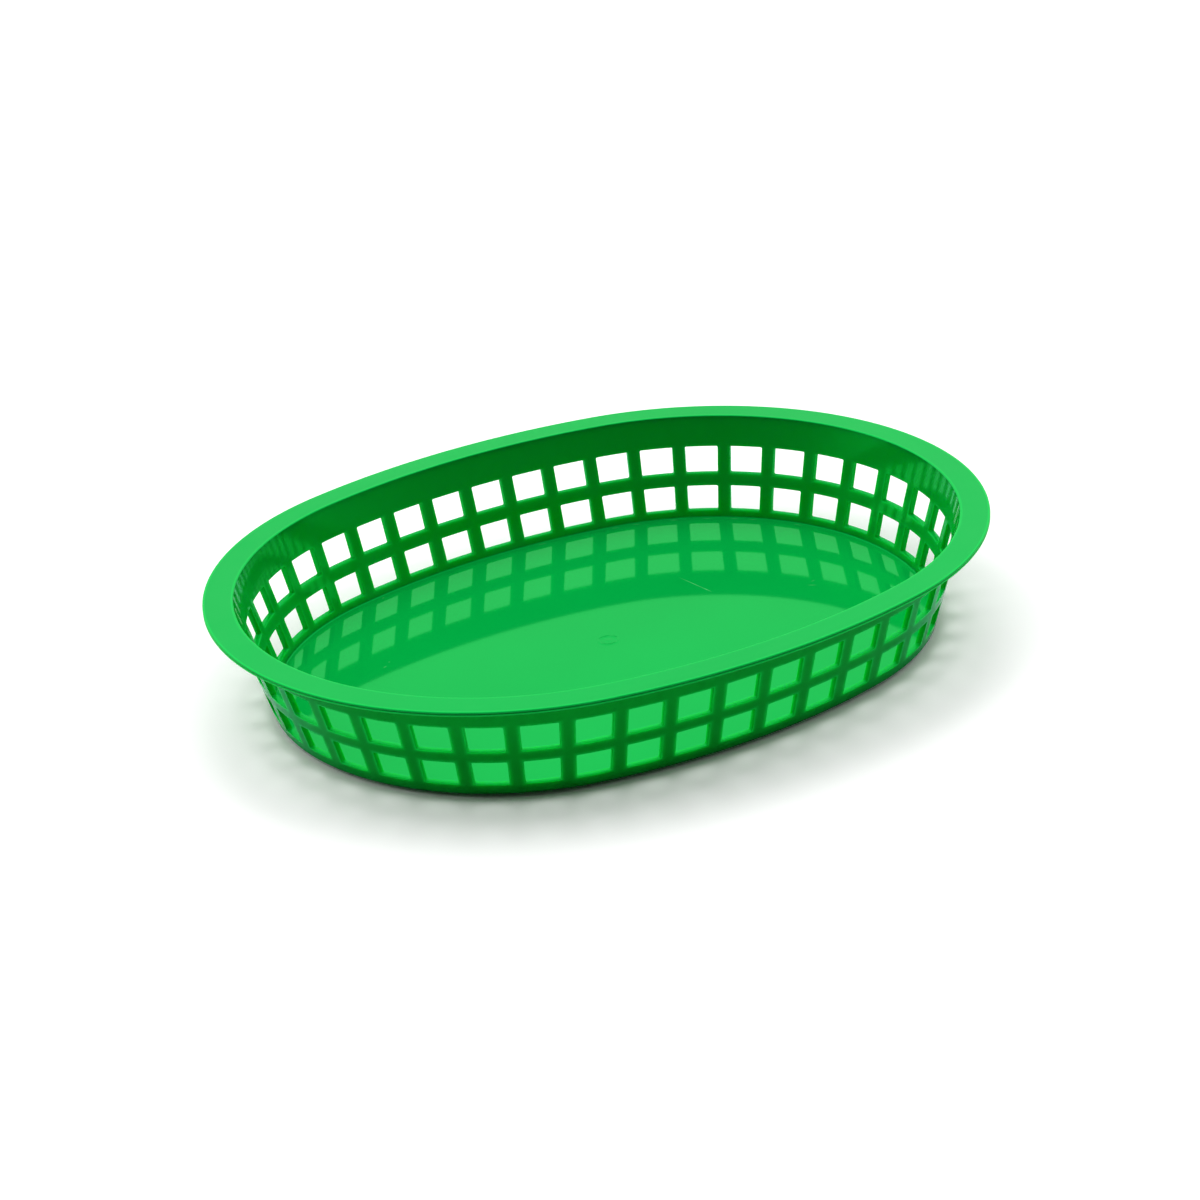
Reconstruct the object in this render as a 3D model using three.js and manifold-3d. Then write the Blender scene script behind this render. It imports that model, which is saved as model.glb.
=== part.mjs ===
// An oval fast food basket, moulded in green plastic: a flat floor on a low foot, a sloping wall with
// two rows of windows, and a wide flat rim.
// Millimetres, +Z up. The origin is on the table under the middle, and +X runs along the length.
import * as THREE from 'three';
import { mergeVertices } from 'three/addons/utils/BufferGeometryUtils.js';
import Module from 'manifold-3d';

// Driving dimensions: the plan and the overall height
const length = 298.5;        // over the rim, along X
const width = 236;           // over the rim, along Y
const sideBow = 4.4;         // how far a long side bows out past the tops of the two end arcs
const height = 43.1;         // from the table to the top of the rim

// Driving dimensions: the foot and the floor
const footHeight = 1.4;      // how far the foot lifts the floor off the table
const footWidth = 4;         // level width of the foot's resting face
const footInset = 3;         // from the floor's bottom edge in to the foot
const floorThickness = 1.6;
const heelRound = 1.4;       // how far the floor's bottom edge is drawn in under the wall

// Driving dimensions: the wall
const wallThickness = 2.4;   // measured level
const wallDraft = 15.7;      // degrees that the wall leans out
const heelHeight = 3;        // plain band between the floor and the lower windows
const lowerWindowHeight = 9.6;
const hoopHeight = 4.9;      // band between the two rows of windows
const upperWindowHeight = 10.5;
const ribCount = 42;         // ribs around the wall, and windows in each row
const ribWidth = 4.8;
const lapGap = 0.3;          // clearance of a rib in the hoop's notch

// Driving dimensions: the rim
const rimWidth = 11;         // flat top, from the wall's inner face to the outline
const rimThickness = 1.8;
const rimEdgeWidth = 1.5;    // the edge strip that carries the parting line
const edgeRound = 0.4;       // small corners of the rim
const beadDepth = 0.25;      // how far the parting line stands out
const beadHeight = 0.5;

// Driving dimensions: the mark left in the middle of the floor where the plastic came in
const gateDiscRadius = 5;
const gateDiscHeight = 0.25;
const gateNubRadius = 1.1;
const gateNubHeight = 0.3;

// Fineness of the round forms
const stationsPerRib = 4;
const gateSides = 32;
const weldDistance = 1e-4;   // vertices closer than this are one vertex

// Levels that follow from the sizes above
const floorTop = footHeight + floorThickness;
const lowerSill = floorTop + heelHeight;
const hoopBottom = lowerSill + lowerWindowHeight;
const hoopTop = hoopBottom + hoopHeight;
const upperHead = hoopTop + upperWindowHeight;
const rimBottom = height - rimThickness;

// The outline: two end arcs and two flat side arcs that run into each other smoothly.
const endRadius = width / 2 - sideBow;
const endCentre = length / 2 - endRadius;
const sideRadius = (endCentre ** 2 + (width / 2) ** 2 - endRadius ** 2) / (2 * sideBow);
const sideCentre = sideRadius - width / 2;
const meetAngle = Math.atan2(sideCentre, endCentre);

// The wall's faces, as distances out from the outline (so they are negative) at a height z.
const wallSlope = Math.tan(THREE.MathUtils.degToRad(wallDraft));
const innerFace = (z) => -rimWidth - (height - z) * wallSlope;
const outerFace = (z) => innerFace(z) + wallThickness;

// A point on the outline moved out by offset, and the angle it faces. share goes from 0 at +X once
// round, in equal steps along the middle of the wall.
function outlinePoint(share, offset) {
  const middle = innerFace((floorTop + rimBottom) / 2) + wallThickness / 2;
  const endRun = (endRadius + middle) * meetAngle;
  const sideRun = (sideRadius + middle) * (Math.PI / 2 - meetAngle);
  const quarter = endRun + sideRun;
  const run = (share - Math.floor(share)) * 4 * quarter;
  const quadrant = Math.floor(run / quarter) % 4;
  const mirrored = quadrant % 2 === 1;
  const along = mirrored ? (quadrant + 1) * quarter - run : run - quadrant * quarter;
  const onEnd = along <= endRun;
  const turn = onEnd ? along / (endRadius + middle) : meetAngle + (along - endRun) / (sideRadius + middle);
  const signX = quadrant === 1 || quadrant === 2 ? -1 : 1;
  const signY = quadrant >= 2 ? -1 : 1;
  const radius = (onEnd ? endRadius : sideRadius) + offset;
  const x = (onEnd ? endCentre : 0) + radius * Math.cos(turn);
  const y = (onEnd ? 0 : -sideCentre) + radius * Math.sin(turn);
  const facing = Math.atan2(signY * Math.sin(turn), signX * Math.cos(turn));
  return { x: signX * x, y: signY * y, facing };
}

const stationCount = ribCount * stationsPerRib;

function meshGeometry(positions, triangles) {
  const geometry = new THREE.BufferGeometry();
  geometry.setAttribute('position', new THREE.Float32BufferAttribute(positions, 3));
  geometry.setIndex(triangles);
  return geometry;
}

// Rows of points around the outline, one row for each corner [offset, z] of a profile.
function outlineRows(profile) {
  const positions = [];
  for (const [offset, z] of profile) {
    for (let station = 0; station < stationCount; station += 1) {
      const point = outlinePoint(station / stationCount, offset);
      positions.push(point.x, point.y, z);
    }
  }
  return positions;
}

// The strip of triangles between two rows. The second row follows the first, anticlockwise round the profile.
function stripBetween(row, nextRow) {
  const triangles = [];
  for (let station = 0; station < stationCount; station += 1) {
    const next = (station + 1) % stationCount;
    const a = row * stationCount + station;
    const b = row * stationCount + next;
    const c = nextRow * stationCount + next;
    const d = nextRow * stationCount + station;
    triangles.push(a, b, c, a, c, d);
  }
  return triangles;
}

// A ring: a closed profile of corners [offset, z], listed anticlockwise, swept once round the outline.
function ring(profile) {
  const triangles = profile.flatMap((corner, row) => stripBetween(row, (row + 1) % profile.length));
  return meshGeometry(outlineRows(profile), triangles);
}

// A plate: an open profile of the edge from the bottom up, closed by flat faces below and above.
function plate(profile) {
  const positions = outlineRows(profile);
  const triangles = [];
  for (let row = 0; row + 1 < profile.length; row += 1) {
    triangles.push(...stripBetween(row, row + 1));
  }
  const bottomMiddle = positions.length / 3;
  const topMiddle = bottomMiddle + 1;
  const topRow = (profile.length - 1) * stationCount;
  positions.push(0, 0, profile[0][1], 0, 0, profile[profile.length - 1][1]);
  for (let station = 0; station < stationCount; station += 1) {
    const next = (station + 1) % stationCount;
    triangles.push(bottomMiddle, next, station);
    triangles.push(topMiddle, topRow + station, topRow + next);
  }
  return meshGeometry(positions, triangles);
}

// A bar of the wall: a profile of corners [offset, z], barWidth wide, facing +X with the outline at x = 0.
function bar(profile, barWidth) {
  const shape = new THREE.Shape(profile.map(([offset, z]) => new THREE.Vector2(offset, z)));
  const geometry = new THREE.ExtrudeGeometry(shape, { depth: barWidth, bevelEnabled: false });
  geometry.rotateX(Math.PI / 2);
  geometry.translate(0, barWidth / 2, 0);
  return geometry;
}

// The turn and move that take a bar to a rib's place on the outline. A window is in the middle of each end.
function ribPlacement(index) {
  const place = outlinePoint((index + 0.5) / ribCount, 0);
  const turn = new THREE.Matrix4().makeRotationZ(place.facing);
  return new THREE.Matrix4().makeTranslation(place.x, place.y, 0).multiply(turn);
}

// Joining and cutting
const wasm = await Module();
wasm.setup();

function toSolid(geometry) {
  const plain = geometry.clone();
  plain.deleteAttribute('normal');
  plain.deleteAttribute('uv');
  const merged = mergeVertices(plain, weldDistance);
  return new wasm.Manifold(new wasm.Mesh({
    numProp: 3,
    vertProperties: new Float32Array(merged.attributes.position.array),
    triVerts: new Uint32Array(merged.index.array),
  }));
}

function fromSolid(solid) {
  const mesh = solid.getMesh();
  return meshGeometry(Array.from(mesh.vertProperties), Array.from(mesh.triVerts));
}

// Finishes: the floor is polished, the wall and rim are satin.
const wallFinish = new THREE.MeshStandardMaterial({ color: 0x12a545, roughness: 0.35, metalness: 0 });
const rimFinish = new THREE.MeshStandardMaterial({ color: 0x2cc85c, roughness: 0.45, metalness: 0 });
const floorFinish = new THREE.MeshStandardMaterial({ color: 0x2cc45c, roughness: 0.15, metalness: 0 });

function piece(name, geometry, material) {
  const mesh = new THREE.Mesh(geometry, material);
  mesh.name = name;
  return mesh;
}

// Foot: a low flat ring under the edge of the floor.
function footRing() {
  const floorEdge = outerFace(floorTop) - heelRound;
  const outer = floorEdge - footInset;
  const inner = outer - footWidth;
  return ring([[inner, 0], [outer, 0], [outer, footHeight], [inner, footHeight]]);
}

// Floor: a flat plate that runs out under the wall, drawn in at its bottom edge.
function floorPanel() {
  const top = outerFace(floorTop);
  const halfway = (footHeight + floorTop) / 2;
  return plate([
    [top - heelRound, footHeight],
    [top - heelRound / 4, halfway],
    [top, floorTop],
  ]);
}

// A plain band of the wall between two heights.
function wallBand(bottom, top) {
  return ring([
    [innerFace(bottom), bottom],
    [outerFace(bottom), bottom],
    [outerFace(top), top],
    [innerFace(top), top],
  ]);
}

// Rib: a bar from the lower sill to the upper head. Where it crosses the hoop only its inner half goes on.
const lapFace = (z) => innerFace(z) + (wallThickness - lapGap) / 2;

function rib() {
  return bar([
    [innerFace(lowerSill), lowerSill],
    [outerFace(lowerSill), lowerSill],
    [outerFace(hoopBottom), hoopBottom],
    [lapFace(hoopBottom), hoopBottom],
    [lapFace(hoopTop), hoopTop],
    [outerFace(hoopTop), hoopTop],
    [outerFace(upperHead), upperHead],
    [innerFace(upperHead), upperHead],
  ], ribWidth);
}

// Hoop: the band between the windows, notched on its inner side where each rib passes.
function midHoop() {
  const below = hoopBottom - wallThickness;
  const above = hoopTop + wallThickness;
  const notch = bar([
    [innerFace(below) - wallThickness, below],
    [lapFace(below) + lapGap, below],
    [lapFace(above) + lapGap, above],
    [innerFace(above) - wallThickness, above],
  ], ribWidth + 2 * lapGap);
  let hoop = toSolid(wallBand(hoopBottom, hoopTop));
  for (let index = 0; index < ribCount; index += 1) {
    hoop = hoop.subtract(toSolid(notch.clone().applyMatrix4(ribPlacement(index))));
  }
  return fromSolid(hoop);
}

// Rim: a flat flange on top of the wall, with an edge strip round it.
function rimFlange() {
  return ring([
    [innerFace(rimBottom), rimBottom],
    [-rimEdgeWidth, rimBottom],
    [-rimEdgeWidth, height],
    [innerFace(height) + edgeRound, height],
    [innerFace(height - edgeRound), height - edgeRound],
  ]);
}

function rimEdge() {
  const beadTop = rimBottom + beadHeight;
  return ring([
    [-rimEdgeWidth, rimBottom],
    [0, rimBottom],
    [0, beadTop],
    [-beadDepth, beadTop],
    [-beadDepth, height - edgeRound],
    [-beadDepth - edgeRound, height],
    [-rimEdgeWidth, height],
  ]);
}

// Gate mark: a thin disc with a small nub, in the middle of the floor.
function gateMark() {
  const discTop = floorTop + gateDiscHeight;
  const profile = [
    [0, floorTop],
    [gateDiscRadius, floorTop],
    [gateDiscRadius, discTop],
    [gateNubRadius, discTop],
    [gateNubRadius, discTop + gateNubHeight],
    [0, discTop + gateNubHeight],
  ];
  const lathe = new THREE.LatheGeometry(profile.map(([r, z]) => new THREE.Vector2(r, z)), gateSides);
  return lathe.rotateX(Math.PI / 2);
}

const basket = new THREE.Group();
basket.add(piece('foot_ring', footRing(), floorFinish));
basket.add(piece('floor_panel', floorPanel(), floorFinish));
basket.add(piece('gate_mark', gateMark(), floorFinish));
basket.add(piece('heel_band', wallBand(floorTop, lowerSill), wallFinish));
basket.add(piece('mid_hoop', midHoop(), wallFinish));
basket.add(piece('shoulder_band', wallBand(upperHead, rimBottom), wallFinish));
basket.add(piece('rim_flange', rimFlange(), rimFinish));
basket.add(piece('rim_edge', rimEdge(), rimFinish));

const ribs = new THREE.Group();
for (let index = 0; index < ribCount; index += 1) {
  const mesh = piece(`rib_${String(index + 1).padStart(2, '0')}`, rib(), wallFinish);
  mesh.applyMatrix4(ribPlacement(index));
  ribs.add(mesh);
}
basket.add(ribs);

export default basket;
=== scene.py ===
# %% [markdown]
# # An oval fast food basket
# The real basket is one green plastic moulding: a polished floor, a leaning wall with two rows of
# windows and a flat satin rim. Its solids come from model.glb at their real size. This script dresses
# them with smooth skins, a green plastic and soft studio light, and looks at them from the photograph's
# side.

# %% Load the imported basket
import math

import bpy
import numpy as np
from mathutils import Matrix, Vector


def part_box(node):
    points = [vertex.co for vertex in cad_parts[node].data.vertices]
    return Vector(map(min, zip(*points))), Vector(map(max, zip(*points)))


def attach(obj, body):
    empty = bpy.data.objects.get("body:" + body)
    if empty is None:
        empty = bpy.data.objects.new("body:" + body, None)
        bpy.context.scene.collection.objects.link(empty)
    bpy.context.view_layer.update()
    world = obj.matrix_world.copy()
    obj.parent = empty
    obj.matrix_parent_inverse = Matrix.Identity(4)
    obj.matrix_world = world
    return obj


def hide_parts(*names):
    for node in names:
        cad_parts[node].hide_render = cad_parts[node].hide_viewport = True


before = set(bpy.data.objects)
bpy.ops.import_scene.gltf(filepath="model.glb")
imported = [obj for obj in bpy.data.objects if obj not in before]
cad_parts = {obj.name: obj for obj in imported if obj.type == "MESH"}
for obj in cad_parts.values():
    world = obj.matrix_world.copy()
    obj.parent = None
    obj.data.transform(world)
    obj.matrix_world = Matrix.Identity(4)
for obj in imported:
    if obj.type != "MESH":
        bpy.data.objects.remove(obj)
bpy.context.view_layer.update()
MM = 0.001

# %% [markdown]
# ## Sizes from the frame
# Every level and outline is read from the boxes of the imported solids, so the skins land where the solids
# are. Offsets are level distances from the rim's outline, and those inside it are negative. What a box
# can't tell, such as a thickness or a small radius, is a named value in the cell that first needs it.

# %% Levels of the basket
rim_low, rim_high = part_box("rim_edge")
half_length = rim_high.x
half_width = rim_high.y
rim_top = rim_high.z
rim_under = rim_low.z
floor_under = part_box("floor_panel")[0].z
floor_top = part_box("floor_panel")[1].z
lower_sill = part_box("heel_band")[1].z
hoop_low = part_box("mid_hoop")[0].z
hoop_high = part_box("mid_hoop")[1].z
upper_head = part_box("shoulder_band")[0].z
print("above the table: floor", round(floor_top / MM, 2), "mm, rim", round(rim_top / MM, 2), "mm")

# %% Offsets of the wall, the floor and the foot
outer_at_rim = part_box("shoulder_band")[1].x - half_length
outer_at_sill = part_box("heel_band")[1].x - half_length
wall_slope = (outer_at_rim - outer_at_sill) / (rim_under - lower_sill)
foot_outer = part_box("foot_ring")[1].x - half_length
floor_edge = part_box("floor_panel")[1].x - half_length
ribs = sorted(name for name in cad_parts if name.startswith("rib_"))
window_count = len(ribs)
print("ribs:", window_count, "wall leans", round(math.degrees(math.atan(wall_slope)), 2), "degrees")

# %% [markdown]
# ## The oval
# In plan the basket is an oval of four arcs: a tight arc at each end and a flatter one along each side,
# running into each other smoothly. A superellipse would be shorter to write, but arcs keep every offset of
# the outline exact, so the rim, wall and floor stay parallel all the way round.

# %% Radii and centres of the arcs
SIDE_BOW = 4.4 * MM          # how far a long side bows out past the tops of the end arcs

end_radius = half_width - SIDE_BOW
end_centre = half_length - end_radius
side_radius = (end_centre**2 + half_width**2 - end_radius**2) / (2 * SIDE_BOW)
side_centre = side_radius - half_width
meet_angle = math.atan2(side_centre, end_centre)
print("oval: end radius", round(end_radius / MM, 1), "side radius", round(side_radius / MM, 1), "mm")

# %% Faces of the wall, and lengths along its middle
WALL = 2.4 * MM              # the wall's thickness, measured level


def outer_face(z):
    """Offset of the wall's outer face at a height: a straight slope down from the rim's underside."""
    return outer_at_rim - (rim_under - z) * wall_slope


def inner_face(z):
    """Offset of the wall's inner face: its outer face less the thickness."""
    return outer_face(z) - WALL


MID_WALL = outer_face((floor_top + rim_under) / 2) - WALL / 2
END_RUN = (end_radius + MID_WALL) * meet_angle
SIDE_RUN = (side_radius + MID_WALL) * (math.pi / 2 - meet_angle)
QUARTER = END_RUN + SIDE_RUN
print("a quarter of the way round is", round(QUARTER / MM, 1), "mm")


# %% Walk round the oval
def oval(share, offset):
    """The outline moved out by offset, at shares of one turn counted from +X along the middle of the wall.

    In each quarter the turn angle grows by length over radius, first on the end arc, then on the side
    arc. The point is the arc's centre plus (radius + offset) times (cos, sin) of that angle.
    """
    share, offset = np.broadcast_arrays(np.asarray(share, float) % 1.0, np.asarray(offset, float))
    run = share * 4 * QUARTER
    quadrant = np.minimum(np.floor(run / QUARTER), 3).astype(int)
    along = run - quadrant * QUARTER
    along = np.where(quadrant % 2 == 1, QUARTER - along, along)
    on_end = along <= END_RUN
    turn_end = along / (end_radius + MID_WALL)
    turn_side = meet_angle + (along - END_RUN) / (side_radius + MID_WALL)
    turn = np.where(on_end, turn_end, turn_side)
    radius = np.where(on_end, end_radius, side_radius) + offset
    x = np.where(on_end, end_centre, 0.0) + radius * np.cos(turn)
    y = np.where(on_end, 0.0, -side_centre) + radius * np.sin(turn)
    sign_x = np.where((quadrant == 1) | (quadrant == 2), -1.0, 1.0)
    sign_y = np.where(quadrant >= 2, -1.0, 1.0)
    return x * sign_x, y * sign_y


print("a quarter round, the outline is at y =", round(float(oval(0.25, 0.0)[1]) / MM, 1), "mm")

# %% [markdown]
# ## From arrays to pieces
# Each skin is worked out as whole arrays of points and faces. Points that fall together, where two
# patches meet, are welded by rounding, and a face angle decides which edges stay sharp. Blender's own
# tools could merge and shade too, but arrays keep the whole recipe in sight.

# %% Faces, welding and a test for holes
WELD = 1e-7                  # points nearer than this become one, in metres


def strip_faces(rows, columns):
    """Quads of a grid whose columns close into a ring: (row, column) to the next row and column."""
    row, column = np.meshgrid(np.arange(rows - 1), np.arange(columns), indexing="ij")
    following = (column + 1) % columns
    quads = [row * columns + column, row * columns + following]
    quads += [(row + 1) * columns + following, (row + 1) * columns + column]
    return np.stack(quads, axis=-1).reshape(-1, 4)


def welded(points, faces, values):
    """Points that agree to WELD become one, and the faces and point values follow."""
    keys = np.round(points / WELD).astype(np.int64)
    _, first, place = np.unique(keys, axis=0, return_index=True, return_inverse=True)
    place = place.reshape(-1)
    return points[first], [place[part] for part in faces], values[first]


def open_edges(faces):
    """How many edges don't have exactly two faces: 0 for a closed skin."""
    pairs = [np.stack([part, np.roll(part, -1, axis=1)], axis=-1).reshape(-1, 2) for part in faces]
    _, uses = np.unique(np.sort(np.concatenate(pairs), axis=1), axis=0, return_counts=True)
    return int((uses != 2).sum())


print("two rings of four points have", len(strip_faces(2, 4)), "faces and", end=" ")
print(open_edges([strip_faces(2, 4)]), "open edges")

# %% From arrays to a Blender object
SHARP_ANGLE = math.radians(40)


def make_piece(name, points, faces, material, painted_light=None):
    """A mesh object from points, a list of face arrays and a point value 0..1 of painted light: painted glow
    round the windows and painted highlight lines on the rim.
    """
    values = np.zeros(len(points)) if painted_light is None else np.asarray(painted_light, float)
    points, faces, values = welded(np.asarray(points, float), faces, values)
    mesh = bpy.data.meshes.new(name)
    mesh.from_pydata(points.tolist(), [], [face for part in faces for face in part.tolist()])
    attribute = mesh.attributes.new("painted_light", "FLOAT", "POINT")
    attribute.data.foreach_set("value", values.astype(np.float32))
    mesh.polygons.foreach_set("use_smooth", np.ones(len(mesh.polygons), bool))
    mesh.set_sharp_from_angle(angle=SHARP_ANGLE)
    mesh.materials.append(material)
    piece = bpy.data.objects.new(name, mesh)
    bpy.context.scene.collection.objects.link(piece)
    print(name, "points", len(mesh.vertices), "faces", len(mesh.polygons), "open edges", open_edges(faces))
    return piece


print("edges stay sharp beyond", round(math.degrees(SHARP_ANGLE)), "degrees")

# %% [markdown]
# ## Profiles carried round the oval
# The rim, the floor and the plain parts of the wall keep one cross-section all the way round. A curve
# with a bevel could do this, but its rings wouldn't fall on the windows' corners. So the stations round
# the basket are those of the windows' frames, closer together at the ribs, and every skin shares them.

# %% Stations round the basket
across = np.array([-1.0, -0.93, -0.86, -0.573, -0.287, 0.0, 0.287, 0.573, 0.86, 0.93])
stations = ((np.arange(window_count)[:, None] + across[None, :] / 2) / window_count).reshape(-1)
print("stations:", len(stations))


# %% Lines and arcs of a profile, and the sweep
def straight(start, end, steps):
    """Evenly spaced points from start to end, without the end."""
    share = np.linspace(0, 1, steps, endpoint=False)[:, None]
    return np.asarray(start) * (1 - share) + np.asarray(end) * share


def arc(centre, radii, start, end, steps):
    """Points of an ellipse's arc, centre + radii * (cos, sin), from start to end in degrees."""
    angle = np.radians(np.linspace(start, end, steps + 1))
    return np.stack([centre[0] + radii[0] * np.cos(angle), centre[1] + radii[1] * np.sin(angle)], axis=-1)


def swept(profile):
    """Each corner (offset, z) of a profile becomes a ring of points at all the stations."""
    profile = np.asarray(profile, float)
    x, y = oval(stations[None, :], profile[:, :1])
    return np.stack([x, y, np.broadcast_to(profile[:, 1:], x.shape)], axis=-1)


print("a profile of two corners sweeps", swept([(0, rim_under), (0, rim_top)]).shape[:2], "points")

# %% [markdown]
# ## Green plastic
# The basket is polypropylene coloured through: bright green where light falls on it and deep green in the
# shade. What it mirrors is tinted green, which a small metallic share gives. A clear coat would mirror
# pure white instead and make the floor look wet. Light gets into the thin wall and comes out again a
# little further on, so its edges glow. On top of that the wall's green is painted darker as painted shade,
# and window edges and rim corners are painted paler as painted glow and painted highlight. The floor is
# polished like the mould that made it, the wall is a little duller and the rim is satin, so one function
# makes the three finishes.

# %% Helpers for shader nodes
MIX_FACTOR, MIX_A, MIX_B = 0, 6, 7   # a Mix node's inputs when it mixes colours
MIX_RESULT = 2                       # and its output


def link(tree, source, target):
    """Joins one socket to another."""
    tree.links.new(source, target)


def add_node(tree, kind, values=None):
    """A new shader node of a kind, with some of its input sockets set by name."""
    node = tree.nodes.new("ShaderNode" + kind)
    for socket, value in (values or {}).items():
        node.inputs[socket].default_value = value
    return node


def noise(tree, scale, detail):
    """Noise on the piece's own Object coordinates, so that the pattern stays on the piece."""
    place = add_node(tree, "TexCoord")
    pattern = add_node(tree, "TexNoise", {"Scale": scale, "Detail": detail})
    link(tree, place.outputs["Object"], pattern.inputs["Vector"])
    return pattern.outputs["Fac"]


def mix_to(tree, share, colour):
    """A Mix node whose second colour is set. A 0..1 socket says how much of it shows."""
    mix = add_node(tree, "Mix")
    mix.data_type = "RGBA"
    mix.inputs[MIX_B].default_value = colour
    link(tree, share, mix.inputs[MIX_FACTOR])
    return mix


def larger(tree, first, second):
    """The larger of two sockets' values."""
    node = add_node(tree, "Math")
    node.operation = "MAXIMUM"
    link(tree, first, node.inputs[0])
    link(tree, second, node.inputs[1])
    return node.outputs["Value"]


print("node helpers ready")

# %% Body of the plastic
PLASTIC_IOR = 1.49
DEPTH = (0.05, 1.0, 0.15)    # how far red, green and blue light get into the plastic, against each other
DEPTH_SCALE = 6.0 * MM


def plastic_body(name, sheen, metallic, specular, glow):
    """A Principled material with the values that are the same all over the piece.

    Sheen is the tint of what it mirrors at a flat angle. Glow is the share of light that gets into the
    plastic and comes out again a little further on.
    """
    material = bpy.data.materials.new(name)
    material.use_nodes = True
    shader = material.node_tree.nodes["Principled BSDF"]
    shader.inputs["Metallic"].default_value = metallic
    shader.inputs["Specular IOR Level"].default_value = specular
    shader.inputs["Specular Tint"].default_value = sheen
    shader.inputs["IOR"].default_value = PLASTIC_IOR
    shader.inputs["Subsurface Weight"].default_value = glow
    shader.inputs["Subsurface Radius"].default_value = DEPTH
    shader.inputs["Subsurface Scale"].default_value = DEPTH_SCALE
    return material


print("light gets", round(DEPTH_SCALE / MM, 1), "mm into the plastic")

# %% Colour that drifts a little, with edges painted paler as painted glow and painted highlight
# a paler green painted on window edges and along the rim's corners: painted glow and painted highlight
PAINTED_LIGHT_GREEN = (0.006, 0.72, 0.100, 1.0)
DRIFT_SCALE = 14.0           # patches of about 7 cm
DRIFT_DETAIL = 3.0
DRIFT_DARK = 0.94            # the darkest patches, against the green
DRIFT_FROM, DRIFT_TO = 0.3, 0.7


def colour_plastic(material, green):
    """Base colour: the green, a little darker in patches, mixed to a paler green by the point value of
    painted light.
    """
    tree = material.node_tree
    shades = add_node(tree, "ValToRGB")
    dark, full = shades.color_ramp.elements
    dark.position = DRIFT_FROM
    dark.color = [channel * DRIFT_DARK for channel in green] + [1.0]
    full.position = DRIFT_TO
    full.color = list(green) + [1.0]
    link(tree, noise(tree, DRIFT_SCALE, DRIFT_DETAIL), shades.inputs["Fac"])
    # the point value of painted light; the node named edges mixes the paler painted green in by it
    painted_light = add_node(tree, "Attribute")
    painted_light.attribute_name = "painted_light"
    edges = mix_to(tree, painted_light.outputs["Fac"], PAINTED_LIGHT_GREEN)
    edges.name = "edges"
    link(tree, shades.outputs["Color"], edges.inputs[MIX_A])
    link(tree, edges.outputs[MIX_RESULT], tree.nodes["Principled BSDF"].inputs["Base Color"])


print("paler edges:", PAINTED_LIGHT_GREEN[:3])

# %% Rubbed polish and fine grain
RUB_SCALE = 60.0
RUB_DETAIL = 4.0
RUB_SPREAD = 0.15            # how far the roughness strays from its mean
GRAIN_DETAIL = 2.0


def polish_plastic(material, roughness):
    """Roughness that strays a little from its mean, as on plastic that is handled."""
    tree = material.node_tree
    reach = {"To Min": roughness * (1 - RUB_SPREAD), "To Max": roughness * (1 + RUB_SPREAD)}
    polish = add_node(tree, "MapRange", reach)
    polish.name = "polish"
    link(tree, noise(tree, RUB_SCALE, RUB_DETAIL), polish.inputs["Value"])
    link(tree, polish.outputs["Result"], tree.nodes["Principled BSDF"].inputs["Roughness"])


def grain_plastic(material, size, depth):
    """Bump from noise of a grain size, as high as the depth."""
    tree = material.node_tree
    bump = add_node(tree, "Bump", {"Strength": 1.0, "Distance": depth})
    link(tree, noise(tree, 1.0 / size, GRAIN_DETAIL), bump.inputs["Height"])
    link(tree, bump.outputs["Normal"], tree.nodes["Principled BSDF"].inputs["Normal"])


print("roughness strays by", RUB_SPREAD)

# %% Three finishes of the one green
GREEN = (0.001, 0.50, 0.078)
PALE_GREEN = (0.004, 0.49, 0.080)
# the wall's green is painted darker than the floor's as painted shade, because the wall lies in shade
PAINTED_SHADE_GREEN = (0.001, 0.41, 0.034)
CLEAR_SHEEN = (1.0, 1.0, 1.0, 1.0)
GREEN_SHEEN = (0.4, 1.0, 1.0, 1.0)


def green_plastic(name, green, sheen, roughness, metallic, specular, glow, grain_size, grain_depth):
    """One finish: the body, its drifting colour, its rubbed polish and its grain."""
    material = plastic_body(name, sheen, metallic, specular, glow)
    colour_plastic(material, green)
    polish_plastic(material, roughness)
    grain_plastic(material, grain_size, grain_depth)
    return material


rim_satin = green_plastic(
    "rim_satin", PALE_GREEN, CLEAR_SHEEN, roughness=0.42, metallic=0.28, specular=0.03, glow=0.0,
    grain_size=0.6 * MM, grain_depth=0.004 * MM)
wall_sheen = green_plastic(
    "wall_sheen", PAINTED_SHADE_GREEN, GREEN_SHEEN, roughness=0.08, metallic=0.30, specular=0.02, glow=1.0,
    grain_size=2.0 * MM, grain_depth=0.002 * MM)
floor_polish = green_plastic(
    "floor_polish", GREEN, CLEAR_SHEEN, roughness=0.05, metallic=0.38, specular=0.0, glow=0.0,
    grain_size=6.0 * MM, grain_depth=0.001 * MM)
print("finishes:", rim_satin.name, wall_sheen.name, floor_polish.name)

# %% [markdown]
# ## The windowed wall
# The wall is a lattice. Cutting holes in a band leaves ragged faces, so each window is a patch instead: a
# square frame of points that closes in on a rounded window, rolls over its edge, crosses the wall's
# thickness and opens out again on the inner side. Patches side by side share their frames exactly.

# %% Once round a window, as unit arrays
SIDE = len(across)           # points along one side of a window
AROUND = 4 * SIDE
STRAIGHT_STEPS = 3           # from the middle of a side to where its corner begins
CORNER_STEPS = 2             # from there to the corner's middle, a turn of 45 degrees

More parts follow.
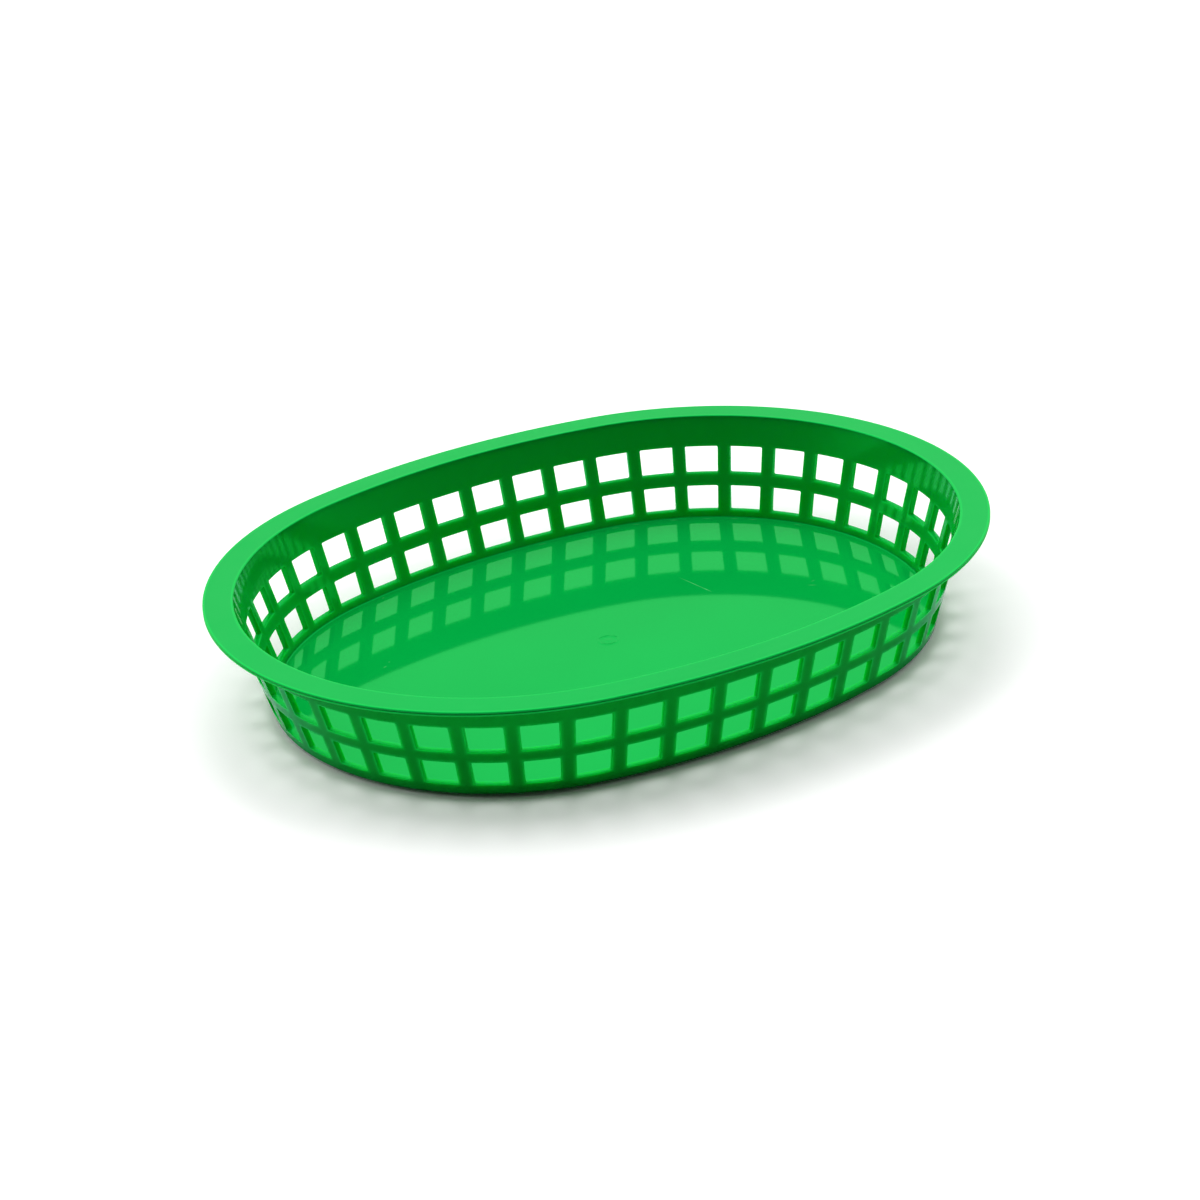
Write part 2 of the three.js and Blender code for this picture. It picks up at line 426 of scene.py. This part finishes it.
step = np.arange(SIDE) - SIDE // 2
along = np.clip(step / STRAIGHT_STEPS, -1, 1)
bend = np.radians(np.clip(np.abs(step) - STRAIGHT_STEPS, 0, CORNER_STEPS) * 45 / CORNER_STEPS)
side_way = np.array([(1, 0), (0, 1), (-1, 0), (0, -1)])     # each side's outward direction
side_run = np.array([(0, 1), (-1, 0), (0, -1), (1, 0)])     # and the direction along it


def once_round(outward, sideways):
    """Four sides in turn: outward * the side's direction + sideways * the direction along it."""
    turn = side_way[:, None, :] * outward[None, :, None] + side_run[:, None, :] * sideways[None, :, None]
    return turn.reshape(-1, 2).T


frame_x, frame_z = once_round(np.ones(SIDE), across)
core_x, core_z = once_round(np.ones(SIDE), along)
arc_x, arc_z = once_round(np.cos(bend), np.sign(step) * np.sin(bend))
print("points round a window:", AROUND)

# %% Outline of a window at a depth in the wall
RIB_WIDTH = 5.0 * MM         # on the inner face
RIB_TAPER = 0.5 * MM         # how much wider a rib is on the outer face, so that the mould lets go
WINDOW_CORNER = 0.5 * MM     # radius of a window's corners


def perimeter(z):
    """Length round the middle of the wall at a height: an offset curve grows by 2 pi times its offset."""
    return 4 * QUARTER + 2 * math.pi * (outer_face(z) - WALL / 2 - MID_WALL)


def window_outline(middle, half_height, depth, grow):
    """Rounded rectangle of a window at a depth in the wall, grown by grow: share and height of each point.

    A point is the straight-sided core times (half size - corner) plus the corner's radius times its arc.
    The half width is half of what the ribs leave of the pitch at that height, so the ribs keep one width.
    """
    corner = WINDOW_CORNER + grow
    z = middle + (half_height - WINDOW_CORNER) * core_z + corner * arc_z
    half = (perimeter(z) / window_count - RIB_WIDTH - RIB_TAPER * depth / WALL) / 2
    return ((half - WINDOW_CORNER) * core_x + corner * arc_x) / perimeter(z), z


print("from rib to rib at the sill:", round(perimeter(lower_sill) / window_count / MM, 2), "mm")

# %% Rings of a window's patch
WINDOW_ROUND = 0.25 * MM     # rounding of a window's edges
# these edges are painted paler as painted glow, where light would come through the thin plastic
OUTER_PAINTED_GLOW = 0.9            # how much paler these edges are on the outer face
INNER_PAINTED_GLOW = 0.35           # on the inner face
REVEAL_PAINTED_GLOW = 0.1           # and inside the window, between the faces
EDGE_FADE = 4                # power by which the paleness fades away from a window


def flat_ring(window, border, closing, outside):
    """A ring on one face of the wall: the border, closed in on the window by a share of the way."""
    depth = WALL if outside else 0.0
    light = OUTER_PAINTED_GLOW if outside else INNER_PAINTED_GLOW
    share, z = window_outline(*window, depth, WINDOW_ROUND)
    share = border[0] * (1 - closing) + share * closing
    z = border[1] * (1 - closing) + z * closing
    # the last value is painted glow, which grows towards the window's edge
    return share, z, depth, light * closing**EDGE_FADE


def rolled_ring(window, turn, outside):
    """A ring on the quarter circle that rolls the window's edge over.

    It is grown by round * (1 - sin) of the turn, and set in from the face by round * (1 - cos).
    """
    inset = WINDOW_ROUND * (1 - math.cos(turn))
    depth = WALL - inset if outside else inset
    light = OUTER_PAINTED_GLOW if outside else INNER_PAINTED_GLOW
    share, z = window_outline(*window, depth, WINDOW_ROUND * (1 - math.sin(turn)))
    # the painted glow turns from the face's value to the reveal's
    return share, z, depth, light + (REVEAL_PAINTED_GLOW - light) * math.sin(turn)


print("window edges are rounded by", round(WINDOW_ROUND / MM, 2), "mm")

# %% Patch of one window
ROLL_STEPS = 3
CLOSINGS = np.array([0.0, 0.45, 0.75, 0.92])    # flat rings between a patch's border and its window


def window_patch(low, high, sill, head):
    """Share, height, depth and painted glow of a patch's rings, from its outer border to its inner border.
    """
    middle = (sill + head) / 2
    window = (middle, (head - sill) / 2)
    reach = np.where(frame_z > 0, high - middle, middle - low)
    border = (frame_x / (2 * window_count), middle + frame_z * reach)
    turns = np.linspace(0, math.pi / 2, ROLL_STEPS + 1)
    rings = [flat_ring(window, border, closing, True) for closing in CLOSINGS]
    rings += [rolled_ring(window, turn, True) for turn in turns]
    rings += [rolled_ring(window, turn, False) for turn in turns[::-1]]
    rings += [flat_ring(window, border, closing, False) for closing in CLOSINGS[::-1]]
    share, z, depth, painted_light = zip(*rings)
    depth = np.repeat(np.array(depth)[:, None], AROUND, axis=1)
    painted_light = np.repeat(np.array(painted_light)[:, None], AROUND, axis=1)
    return np.array(share), np.array(z), depth, painted_light


print("rings of a patch:", 2 * (len(CLOSINGS) + ROLL_STEPS + 1))

# %% All the windows
BAND_EDGE = 1.4 * MM         # plain wall kept beyond the windows in their patches
patch_low = lower_sill - BAND_EDGE
patch_high = upper_head + BAND_EDGE
hoop_middle = (hoop_low + hoop_high) / 2


def lattice():
    """Every window's patch set round the wall: point = oval(share, inner face + depth) at its height."""
    points, faces, painted_lights = [], [], []
    rows = [(patch_low, hoop_middle, lower_sill, hoop_low), (hoop_middle, patch_high, hoop_high, upper_head)]
    for low, high, sill, head in rows:
        share, z, depth, painted_light = window_patch(low, high, sill, head)
        centres = np.arange(window_count)[:, None, None] / window_count
        x, y = oval(centres + share, inner_face(z) + depth)
        cells = np.stack([x, y, np.broadcast_to(z, x.shape)], axis=-1)
        first = sum(len(part) for part in points)
        starts = first + np.arange(window_count)[:, None, None] * share.size
        points.append(cells.reshape(-1, 3))
        faces.append((strip_faces(len(share), AROUND)[None] + starts).reshape(-1, 4))
        painted_lights.append(np.tile(painted_light.reshape(-1), window_count))
    return np.concatenate(points), faces, np.concatenate(painted_lights)


points, faces, painted_light = lattice()
print("points of the lattice before welding:", len(points))

# %% Plain bands above and below the windows
FLARE = 1.0 * MM             # where the wall spreads into the rim's underside
CORNER_ROUND = 0.6 * MM      # where the floor turns up into the wall
RIM_ROUND = 0.5 * MM         # where the flat rim turns down into the wall
HEEL_DRAW = 1.4 * MM         # how far the bottom edge is drawn in under the wall
TONGUE = 0.8 * MM            # the wall's skin that runs up inside the rim
HEM = 0.3 * MM               # the same at the bottom, round the floor's edge

lean = math.atan(wall_slope)
wall_foot = floor_top + CORNER_ROUND
wall_head = rim_top - RIM_ROUND * (1 - math.sin(lean))
flare_low = rim_under - FLARE
tongue_edge = inner_face(rim_under) + TONGUE
underside_edge = floor_edge - HEEL_DRAW
hem_edge = underside_edge - HEM
shoulder_profile = np.vstack([
    straight((outer_face(patch_high), patch_high), (outer_face(flare_low), flare_low), steps=4),
    arc((outer_face(flare_low) + FLARE, flare_low), (FLARE, FLARE), 180, 90, steps=4),
    [(tongue_edge, rim_under), (tongue_edge, wall_head)],
    straight((inner_face(wall_head), wall_head), (inner_face(patch_high), patch_high), steps=5),
    [(inner_face(patch_high), patch_high)],
])
heel_profile = np.vstack([
    [(inner_face(patch_low), patch_low), (inner_face(wall_foot), wall_foot)],
    [(hem_edge, wall_foot), (hem_edge, floor_under)],
    arc((underside_edge, floor_top), (HEEL_DRAW, floor_top - floor_under), 270, 360, steps=6),
    [(outer_face(patch_low), patch_low)],
])
print("corners of the shoulder:", len(shoulder_profile), "and of the heel:", len(heel_profile))


# %% Put the wall together
def band(profile, start):
    """A swept band and its faces, numbered from start."""
    return swept(profile).reshape(-1, 3), strip_faces(len(profile), len(stations)) + start


shoulder_points, shoulder_faces = band(shoulder_profile, len(points))
heel_points, heel_faces = band(heel_profile, len(points) + len(shoulder_points))
wall_points = np.concatenate([points, shoulder_points, heel_points])
wall_painted_light = np.concatenate([painted_light, np.zeros(len(shoulder_points) + len(heel_points))])
wall = make_piece("windowed_wall", wall_points, faces + [shoulder_faces, heel_faces], wall_sheen, wall_painted_light)
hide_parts("heel_band", "mid_hoop", "shoulder_band", *ribs)
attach(wall, "root")

# %% [markdown]
# ## The rim
# The rim is a wide flat flange. Its outer edge is rounded, and below that run a fine groove and the raised
# line where the two halves of the mould met. A bevelled slab would miss the groove, so the rim is one
# profile carried round the oval, with painted highlight lines along its corners and the parting line.

# %% Rim profile
BEAD_RADIUS = 0.42 * MM      # the parting line, and the rounded edge above it
BEAD_LIFT = 0.5 * MM         # the parting line's middle above the underside
CORNER_LINE = 0.3 * MM       # half the width of the light line along each corner

edge_face = -BEAD_RADIUS
bead_middle = rim_under + BEAD_LIFT
edge_middle = rim_top - BEAD_RADIUS
corner_in = inner_face(wall_head) + RIM_ROUND * math.cos(lean)
corner_out = edge_face - 2 * CORNER_LINE
line_in = corner_in + 2 * CORNER_LINE
turned_down = 180 - math.degrees(lean)
rim_profile = np.vstack([
    straight((tongue_edge, rim_under), (edge_face, rim_under), steps=8),
    arc((edge_face, bead_middle), (BEAD_RADIUS, BEAD_RADIUS), -90, 90, steps=8),
    arc((edge_face, edge_middle), (BEAD_RADIUS, BEAD_RADIUS), -90, 90, steps=8),
    straight((edge_face, rim_top), (corner_out, rim_top), steps=2)[1:],
    straight((corner_out, rim_top), (line_in, rim_top), steps=10),
    straight((line_in, rim_top), (corner_in, rim_top), steps=2),
    arc((corner_in, rim_top - RIM_ROUND), (RIM_ROUND, RIM_ROUND), 90, turned_down, steps=6),
    [(tongue_edge, wall_head)],
])
print("corners of the rim's profile:", len(rim_profile))

# %% Painted highlight lines along the rim, and its skin
# painted highlights: the parting line, the rounded top edge and the inner corner are painted paler
BEAD_PAINTED_HIGHLIGHT = 1.0              # how much paler the parting line is
OUTER_PAINTED_HIGHLIGHT = 0.5             # the rounded edge above it
INNER_PAINTED_HIGHLIGHT = 0.4             # and the corner over the wall
BEAD_FROM = 0.4              # the parting line is pale beyond this part of its radius
SLACK = 0.1 * CORNER_LINE    # lets a line take in the points that lie on its border

offset, height = rim_profile.T
on_top = height > edge_middle
on_bead = (offset > edge_face + BEAD_FROM * BEAD_RADIUS) & (height < bead_middle + BEAD_RADIUS)
on_inner_corner = on_top & (offset < corner_in + CORNER_LINE + SLACK)
on_outer_corner = on_top & (offset > corner_out + CORNER_LINE - SLACK)
# the painted highlight on each point of the rim's profile
paler = BEAD_PAINTED_HIGHLIGHT * on_bead + INNER_PAINTED_HIGHLIGHT * on_inner_corner + OUTER_PAINTED_HIGHLIGHT * on_outer_corner
rim_painted_light = np.repeat(paler, len(stations))
rim_points = swept(rim_profile).reshape(-1, 3)
rim_faces = strip_faces(len(rim_profile) + 1, len(stations)) % len(rim_points)
rim = make_piece("flat_rim", rim_points, [rim_faces], rim_satin, rim_painted_light)
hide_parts("rim_flange", "rim_edge")
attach(rim, "root")

# %% [markdown]
# ## Marks on the floor
# A basket that is used and stacked picks up a scratch, a few specks and tiny dashes where the floor meets
# the wall. Modelled grooves would be far too deep, so each mark is an ellipse in the floor's finish: a
# Mapping node moves, turns and stretches a round gradient onto it. Inside, the polish is gone and the
# green is paler.

# %% Places of the marks
DASH_INSET = 1.0 * MM        # the dashes lie this far inside the wall's foot
DASH = (2.4, 0.35, 0.7)      # a dash's half length and half width in mm, and strength

floor_marks = [              # x, y in mm, turn in degrees, half length and half width in mm, strength
    (52.2, 21.4, -82.8, 10.0, 0.30, 0.9),
    (53.1, 14.0, -82.8, 3.5, 0.35, 0.9),
    (-76.2, 34.3, 20.0, 1.2, 0.5, 0.6),
    (-73.0, 37.0, 60.0, 0.8, 0.5, 0.5),
    (-48.1, 89.3, 30.0, 0.9, 0.6, 0.6),
    (86.5, -9.0, -40.0, 2.2, 0.5, 0.5),
    (89.0, -6.0, 10.0, 1.4, 0.4, 0.5),
]
dash_shares = np.array([0.062, 0.090, 0.101, 0.117, 0.136, 0.158, 0.171, 0.214])
dash_x, dash_y = oval(dash_shares, inner_face(floor_top) - DASH_INSET)
dash_turn = np.degrees(np.arctan2(-dash_x, dash_y * (half_length / half_width) ** 2))   # an ellipse's way
floor_marks += [(x, y, turn, *DASH) for x, y, turn in zip(dash_x / MM, dash_y / MM, dash_turn)]
print("marks on the floor:", len(floor_marks))

# %% Wear them into the floor's finish
WORN_GREEN = (0.10, 0.62, 0.20, 1.0)
WORN_ROUGHNESS = 0.35


def mark_on(tree, place, mark):
    """A socket that is the mark's strength at its middle and falls to 0 at the ellipse round it."""
    x, y, turn, half_long, half_wide, strength = mark
    onto = add_node(tree, "Mapping")
    onto.vector_type = "TEXTURE"
    onto.inputs["Location"].default_value = (x * MM, y * MM, floor_top)
    onto.inputs["Rotation"].default_value = (0, 0, math.radians(turn))
    onto.inputs["Scale"].default_value = (half_long * MM, half_wide * MM, MM)
    link(tree, place, onto.inputs["Vector"])
    blob = add_node(tree, "TexGradient")
    blob.gradient_type = "SPHERICAL"
    link(tree, onto.outputs["Vector"], blob.inputs["Vector"])
    scaled = add_node(tree, "Math")
    scaled.operation = "MULTIPLY"
    scaled.inputs[1].default_value = strength
    link(tree, blob.outputs["Fac"], scaled.inputs[0])
    return scaled.outputs["Value"]


def add_marks(material, marks):
    """The strongest of the marks at each point mixes in the worn green and takes off the polish."""
    tree = material.node_tree
    shader = tree.nodes["Principled BSDF"]
    place = add_node(tree, "TexCoord").outputs["Object"]
    worn = mark_on(tree, place, marks[0])
    for mark in marks[1:]:
        worn = larger(tree, worn, mark_on(tree, place, mark))
    colour = mix_to(tree, worn, WORN_GREEN)
    link(tree, tree.nodes["edges"].outputs[MIX_RESULT], colour.inputs[MIX_A])
    link(tree, colour.outputs[MIX_RESULT], shader.inputs["Base Color"])
    dull = add_node(tree, "Mix", {"B": WORN_ROUGHNESS})
    link(tree, worn, dull.inputs["Factor"])
    link(tree, tree.nodes["polish"].outputs["Result"], dull.inputs["A"])
    link(tree, dull.outputs["Result"], shader.inputs["Roughness"])


add_marks(floor_polish, floor_marks)
print("nodes of the floor's finish:", len(floor_polish.node_tree.nodes))

# %% [markdown]
# ## The floor and its foot
# The floor, the low ring below it that the basket stands on and the corner that turns up into the wall
# are one more profile. Near the middle an offset of the oval would fold over itself, so there the rings
# are the same oval made smaller, and a fan of triangles closes the last one.

# %% Profile of the foot and the floor's edge
FOOT_WIDTH = 4.0 * MM
FOOT_ROUND = 0.3 * MM
foot_inner = foot_outer - FOOT_WIDTH
floor_rim = inner_face(wall_foot) - CORNER_ROUND
tray_profile = np.vstack([
    [(foot_inner - FOOT_ROUND, floor_under)],
    [(foot_inner, floor_under - FOOT_ROUND)],
    arc((foot_inner + FOOT_ROUND, FOOT_ROUND), (FOOT_ROUND, FOOT_ROUND), 180, 270, steps=3),
    arc((foot_outer - FOOT_ROUND, FOOT_ROUND), (FOOT_ROUND, FOOT_ROUND), 270, 360, steps=3),
    [(foot_outer, floor_under - FOOT_ROUND)],
    [(foot_outer + FOOT_ROUND, floor_under)],
    [(hem_edge, floor_under), (hem_edge, wall_foot)],
    arc((floor_rim, wall_foot), (CORNER_ROUND, CORNER_ROUND), 360, 270, steps=6),
])
print("corners of the floor's profile:", len(tray_profile))

# %% Rings and fans to the middle
FLOOR_SHRINKS = np.array([0.98, 0.9, 0.75, 0.5, 0.25])


def shrunk(ring, shrinks, z):
    """Copies of a ring at a height, each made smaller by its share."""
    rings = ring[None] * shrinks[:, None, None]
    rings[..., 2] = z
    return rings


tray_rings = swept(tray_profile)
under_rings = shrunk(tray_rings[0], FLOOR_SHRINKS[::-1], floor_under)
top_rings = shrunk(tray_rings[-1], FLOOR_SHRINKS, floor_top)
rings = np.concatenate([under_rings, tray_rings, top_rings])
tray_points = np.concatenate([rings.reshape(-1, 3), [(0, 0, floor_under), (0, 0, floor_top)]])
under_middle, top_middle = len(tray_points) - 2, len(tray_points) - 1
count = len(stations)
around = np.arange(count)
following = (around + 1) % count
last = (len(rings) - 1) * count
under_fan = np.stack([np.full(count, under_middle), following, around], axis=-1)
top_fan = np.stack([np.full(count, top_middle), last + around, last + following], axis=-1)
tray_faces = [strip_faces(len(rings), count), under_fan, top_fan]
tray = make_piece("floor_tray", tray_points, tray_faces, floor_polish)
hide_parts("floor_panel", "foot_ring")
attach(tray, "root")

# %% [markdown]
# ## The gate mark
# Molten plastic enters in the middle of the floor and leaves a low disc with a small nub, cut off short.
# A cylinder would have hard edges, so it is a lathed profile whose soft ring and nub catch the light.

# %% Gate mark profile
RING_RADIUS = 3.5 * MM
RING_WIDTH = 0.55 * MM
RING_LIFT = 0.08 * MM
NUB_RADIUS = 1.2 * MM
NUB_LIFT = 0.05 * MM
SUNK = 0.01 * MM             # how far the mark's edge lies below the floor's surface
SUNK_POWER = 4               # how late the surface dips on its way out to the edge

gate_low, gate_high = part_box("gate_mark")


def gate_height(radius):
    """Height over the floor: a bell curve round the ring plus one at the middle, less a sunken edge."""
    ring = RING_LIFT * np.exp(-(((radius - RING_RADIUS) / RING_WIDTH) ** 2))
    nub = NUB_LIFT * np.exp(-((radius / NUB_RADIUS) ** 2))
    return ring + nub - SUNK * (radius / gate_high.x) ** SUNK_POWER


print("gate mark: radius", round(gate_high.x / MM, 2), "mm")

# %% Turn the gate mark
GATE_SIDES = 64
GATE_STEPS = 24
GATE_TIP = 0.15 * MM         # radius of the last ring, which one face closes

gate_radius = np.linspace(gate_high.x, GATE_TIP, GATE_STEPS)[:, None]
gate_angle = np.arange(GATE_SIDES)[None, :] * 2 * math.pi / GATE_SIDES
gate_x = gate_radius * np.cos(gate_angle)
gate_y = gate_radius * np.sin(gate_angle)
gate_z = np.broadcast_to(gate_low.z + gate_height(gate_radius), gate_x.shape)
gate_points = np.stack([gate_x, gate_y, gate_z], axis=-1).reshape(-1, 3)
gate_last = (GATE_STEPS - 1) * GATE_SIDES
gate_top = np.arange(gate_last, gate_last + GATE_SIDES)[None, :]
gate_base = np.arange(GATE_SIDES)[None, ::-1]
gate_faces = [strip_faces(GATE_STEPS, GATE_SIDES), gate_top, gate_base]
gate = make_piece("gate_mark_disc", gate_points, gate_faces, floor_polish)
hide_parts("gate_mark")
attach(gate, "root")

# %% [markdown]
# ## The table
# The basket stands on a plain white table. What the camera and the shiny plastic see of it is pure white
# with the basket's soft shadow. A table that white would also throw much light up at the wall, which lies
# in shade in the photograph, so for bounced light the same table is darker. Light Path tells them apart.

# %% Table top
TABLE_HALF = 6.0
TABLE_CLEAR = 0.02 * MM      # keeps the table's face apart from the foot's

table_mesh = bpy.data.meshes.new("table")
corners = [(-1, -1, 0), (1, -1, 0), (1, 1, 0), (-1, 1, 0)]
table_points = np.array(corners) * TABLE_HALF - np.array((0, 0, TABLE_CLEAR))
table_mesh.from_pydata(table_points.tolist(), [], [(0, 1, 2, 3)])
table = bpy.data.objects.new("table", table_mesh)
bpy.context.scene.collection.objects.link(table)
print("table:", 2 * TABLE_HALF, "m wide")

# %% Table paint
TABLE_SEEN = (1.06, 1.06, 1.06, 1.0)
TABLE_BOUNCE = (0.26, 0.26, 0.26, 1.0)

table_paint = bpy.data.materials.new("table_paint")
table_paint.use_nodes = True
table_tree = table_paint.node_tree
table_ray = add_node(table_tree, "LightPath")
seen = larger(table_tree, table_ray.outputs["Is Camera Ray"], table_ray.outputs["Is Glossy Ray"])
seen = larger(table_tree, seen, table_ray.outputs["Is Transmission Ray"])
table_tone = mix_to(table_tree, seen, TABLE_SEEN)
table_tone.clamp_result = False
table_tone.inputs[MIX_A].default_value = TABLE_BOUNCE
table_shader = add_node(table_tree, "BsdfDiffuse")
link(table_tree, table_tone.outputs[MIX_RESULT], table_shader.inputs["Color"])
link(table_tree, table_shader.outputs["BSDF"], table_tree.nodes["Material Output"].inputs["Surface"])
table_mesh.materials.append(table_paint)
print("table tone, seen:", TABLE_SEEN[0], "for bounced light:", TABLE_BOUNCE[0])

# %% [markdown]
# ## The light
# A wide soft lamp hangs overhead, so the floor and rim are bright while the near side of the wall lies in
# its own shade. Two wide lamps light the ends from both sides and a little behind, and a weak one behind
# puts the shadow in front. Area lamps would show as bright squares in the polish, so all are soft suns
# that reflections leave out. The room is brighter behind the basket than on the camera's side.

# %% Directions of the room
CAMERA_AZIMUTH = math.radians(-29.81)
away = Vector((-math.sin(CAMERA_AZIMUTH), math.cos(CAMERA_AZIMUTH), 0))
beside = Vector((math.cos(CAMERA_AZIMUTH), math.sin(CAMERA_AZIMUTH), 0))
print("away from the camera:", [round(v, 3) for v in away])

# %% World
FILL_FRONT = 0.06            # light that the room gives to surfaces, from the camera's side
FILL_BACK = 0.50             # and from behind the basket
ROOM_DIM = 0.30              # how bright the room behind the camera looks in a reflection
ROOM_WHITE = 1.0             # and the room behind the basket
RISE_HALF = 0.5              # the room brightens over this much of the way to each side

world = bpy.data.worlds.new("studio")
bpy.context.scene.world = world
world.use_nodes = True
sky = world.node_tree
background = sky.nodes["Background"]
background.inputs["Color"].default_value = (1, 1, 1, 1)
direction = add_node(sky, "TexCoord")
facing = add_node(sky, "VectorMath")
facing.operation = "DOT_PRODUCT"
facing.inputs[1].default_value = away
link(sky, direction.outputs["Generated"], facing.inputs[0])


def front_to_back(front, behind):
    """A level that rises from the camera's side of the room to the side behind the basket."""
    reach = {"From Min": -RISE_HALF, "From Max": RISE_HALF, "To Min": front, "To Max": behind}
    rise = add_node(sky, "MapRange", reach)
    link(sky, facing.outputs["Value"], rise.inputs["Value"])
    return rise.outputs["Result"]


sky_ray = add_node(sky, "LightPath")
mirrored = add_node(sky, "Mix")
link(sky, sky_ray.outputs["Is Glossy Ray"], mirrored.inputs["Factor"])
link(sky, front_to_back(FILL_FRONT, FILL_BACK), mirrored.inputs["A"])
link(sky, front_to_back(ROOM_DIM, ROOM_WHITE), mirrored.inputs["B"])
straight_on = larger(sky, sky_ray.outputs["Is Camera Ray"], sky_ray.outputs["Is Transmission Ray"])
link(sky, larger(sky, mirrored.outputs["Result"], straight_on), background.inputs["Strength"])
print("world: fill", FILL_FRONT, "in front and", FILL_BACK, "behind")


# %% Lamps
def soft_sun(name, turn, elevation, strength, softness):
    """A wide soft lamp far away: degrees round from straight behind, and above the table."""
    data = bpy.data.lights.new(name, "SUN")
    data.energy = strength
    data.angle = math.radians(softness)
    lamp = bpy.data.objects.new(name, data)
    lamp.visible_glossy = False
    bpy.context.scene.collection.objects.link(lamp)
    height = math.radians(elevation)
    way = away * math.cos(math.radians(turn)) + beside * math.sin(math.radians(turn))
    towards = way * math.cos(height) + Vector((0, 0, math.sin(height)))
    lamp.rotation_euler = towards.to_track_quat("Z", "Y").to_euler()
    print("lamp", name, "strength", strength)


soft_sun("key", turn=0, elevation=84, strength=1.3, softness=58)
soft_sun("behind", turn=0, elevation=52, strength=0.3, softness=22)
soft_sun("left_side", turn=-70, elevation=42, strength=1.4, softness=60)
soft_sun("right_side", turn=70, elevation=42, strength=0.9, softness=60)

# %% [markdown]
# ## Camera
# A long lens looks down on the basket from beyond its near left end. The photograph is turned a few
# degrees, so the camera is rolled by the same amount. Its axes are worked out from the angles, because a
# Track To constraint couldn't roll.

# %% Camera's axes
CAMERA_ELEVATION = math.radians(24.78)
CAMERA_ROLL = math.radians(-4.37)

back = -away * math.cos(CAMERA_ELEVATION) + Vector((0, 0, math.sin(CAMERA_ELEVATION)))
up = back.cross(beside)
rolled_right = beside * math.cos(CAMERA_ROLL) + up * math.sin(CAMERA_ROLL)
rolled_up = up * math.cos(CAMERA_ROLL) - beside * math.sin(CAMERA_ROLL)
camera_axes = Matrix((rolled_right, rolled_up, back)).transposed().to_4x4()
print("camera looks along", [round(-v, 3) for v in back])

# %% Camera
CAMERA_DISTANCE = 1060.2 * MM
CAMERA_TARGET = Vector((-5.19, -5.05, 22.98)) * MM
FOCAL_PIXELS = 2886.7        # in the photograph's 1200 pixel frame
FRAME_PIXELS = 1200
SENSOR_WIDTH = 36.0

camera_data = bpy.data.cameras.new("camera")
camera_data.sensor_width = SENSOR_WIDTH
camera_data.lens = FOCAL_PIXELS * SENSOR_WIDTH / FRAME_PIXELS
camera = bpy.data.objects.new("camera", camera_data)
bpy.context.scene.collection.objects.link(camera)
camera.matrix_world = Matrix.Translation(CAMERA_TARGET + back * CAMERA_DISTANCE) @ camera_axes
bpy.context.scene.camera = camera
bpy.context.scene.view_settings.view_transform = "Standard"
print("camera: lens", round(camera_data.lens, 1), "mm")
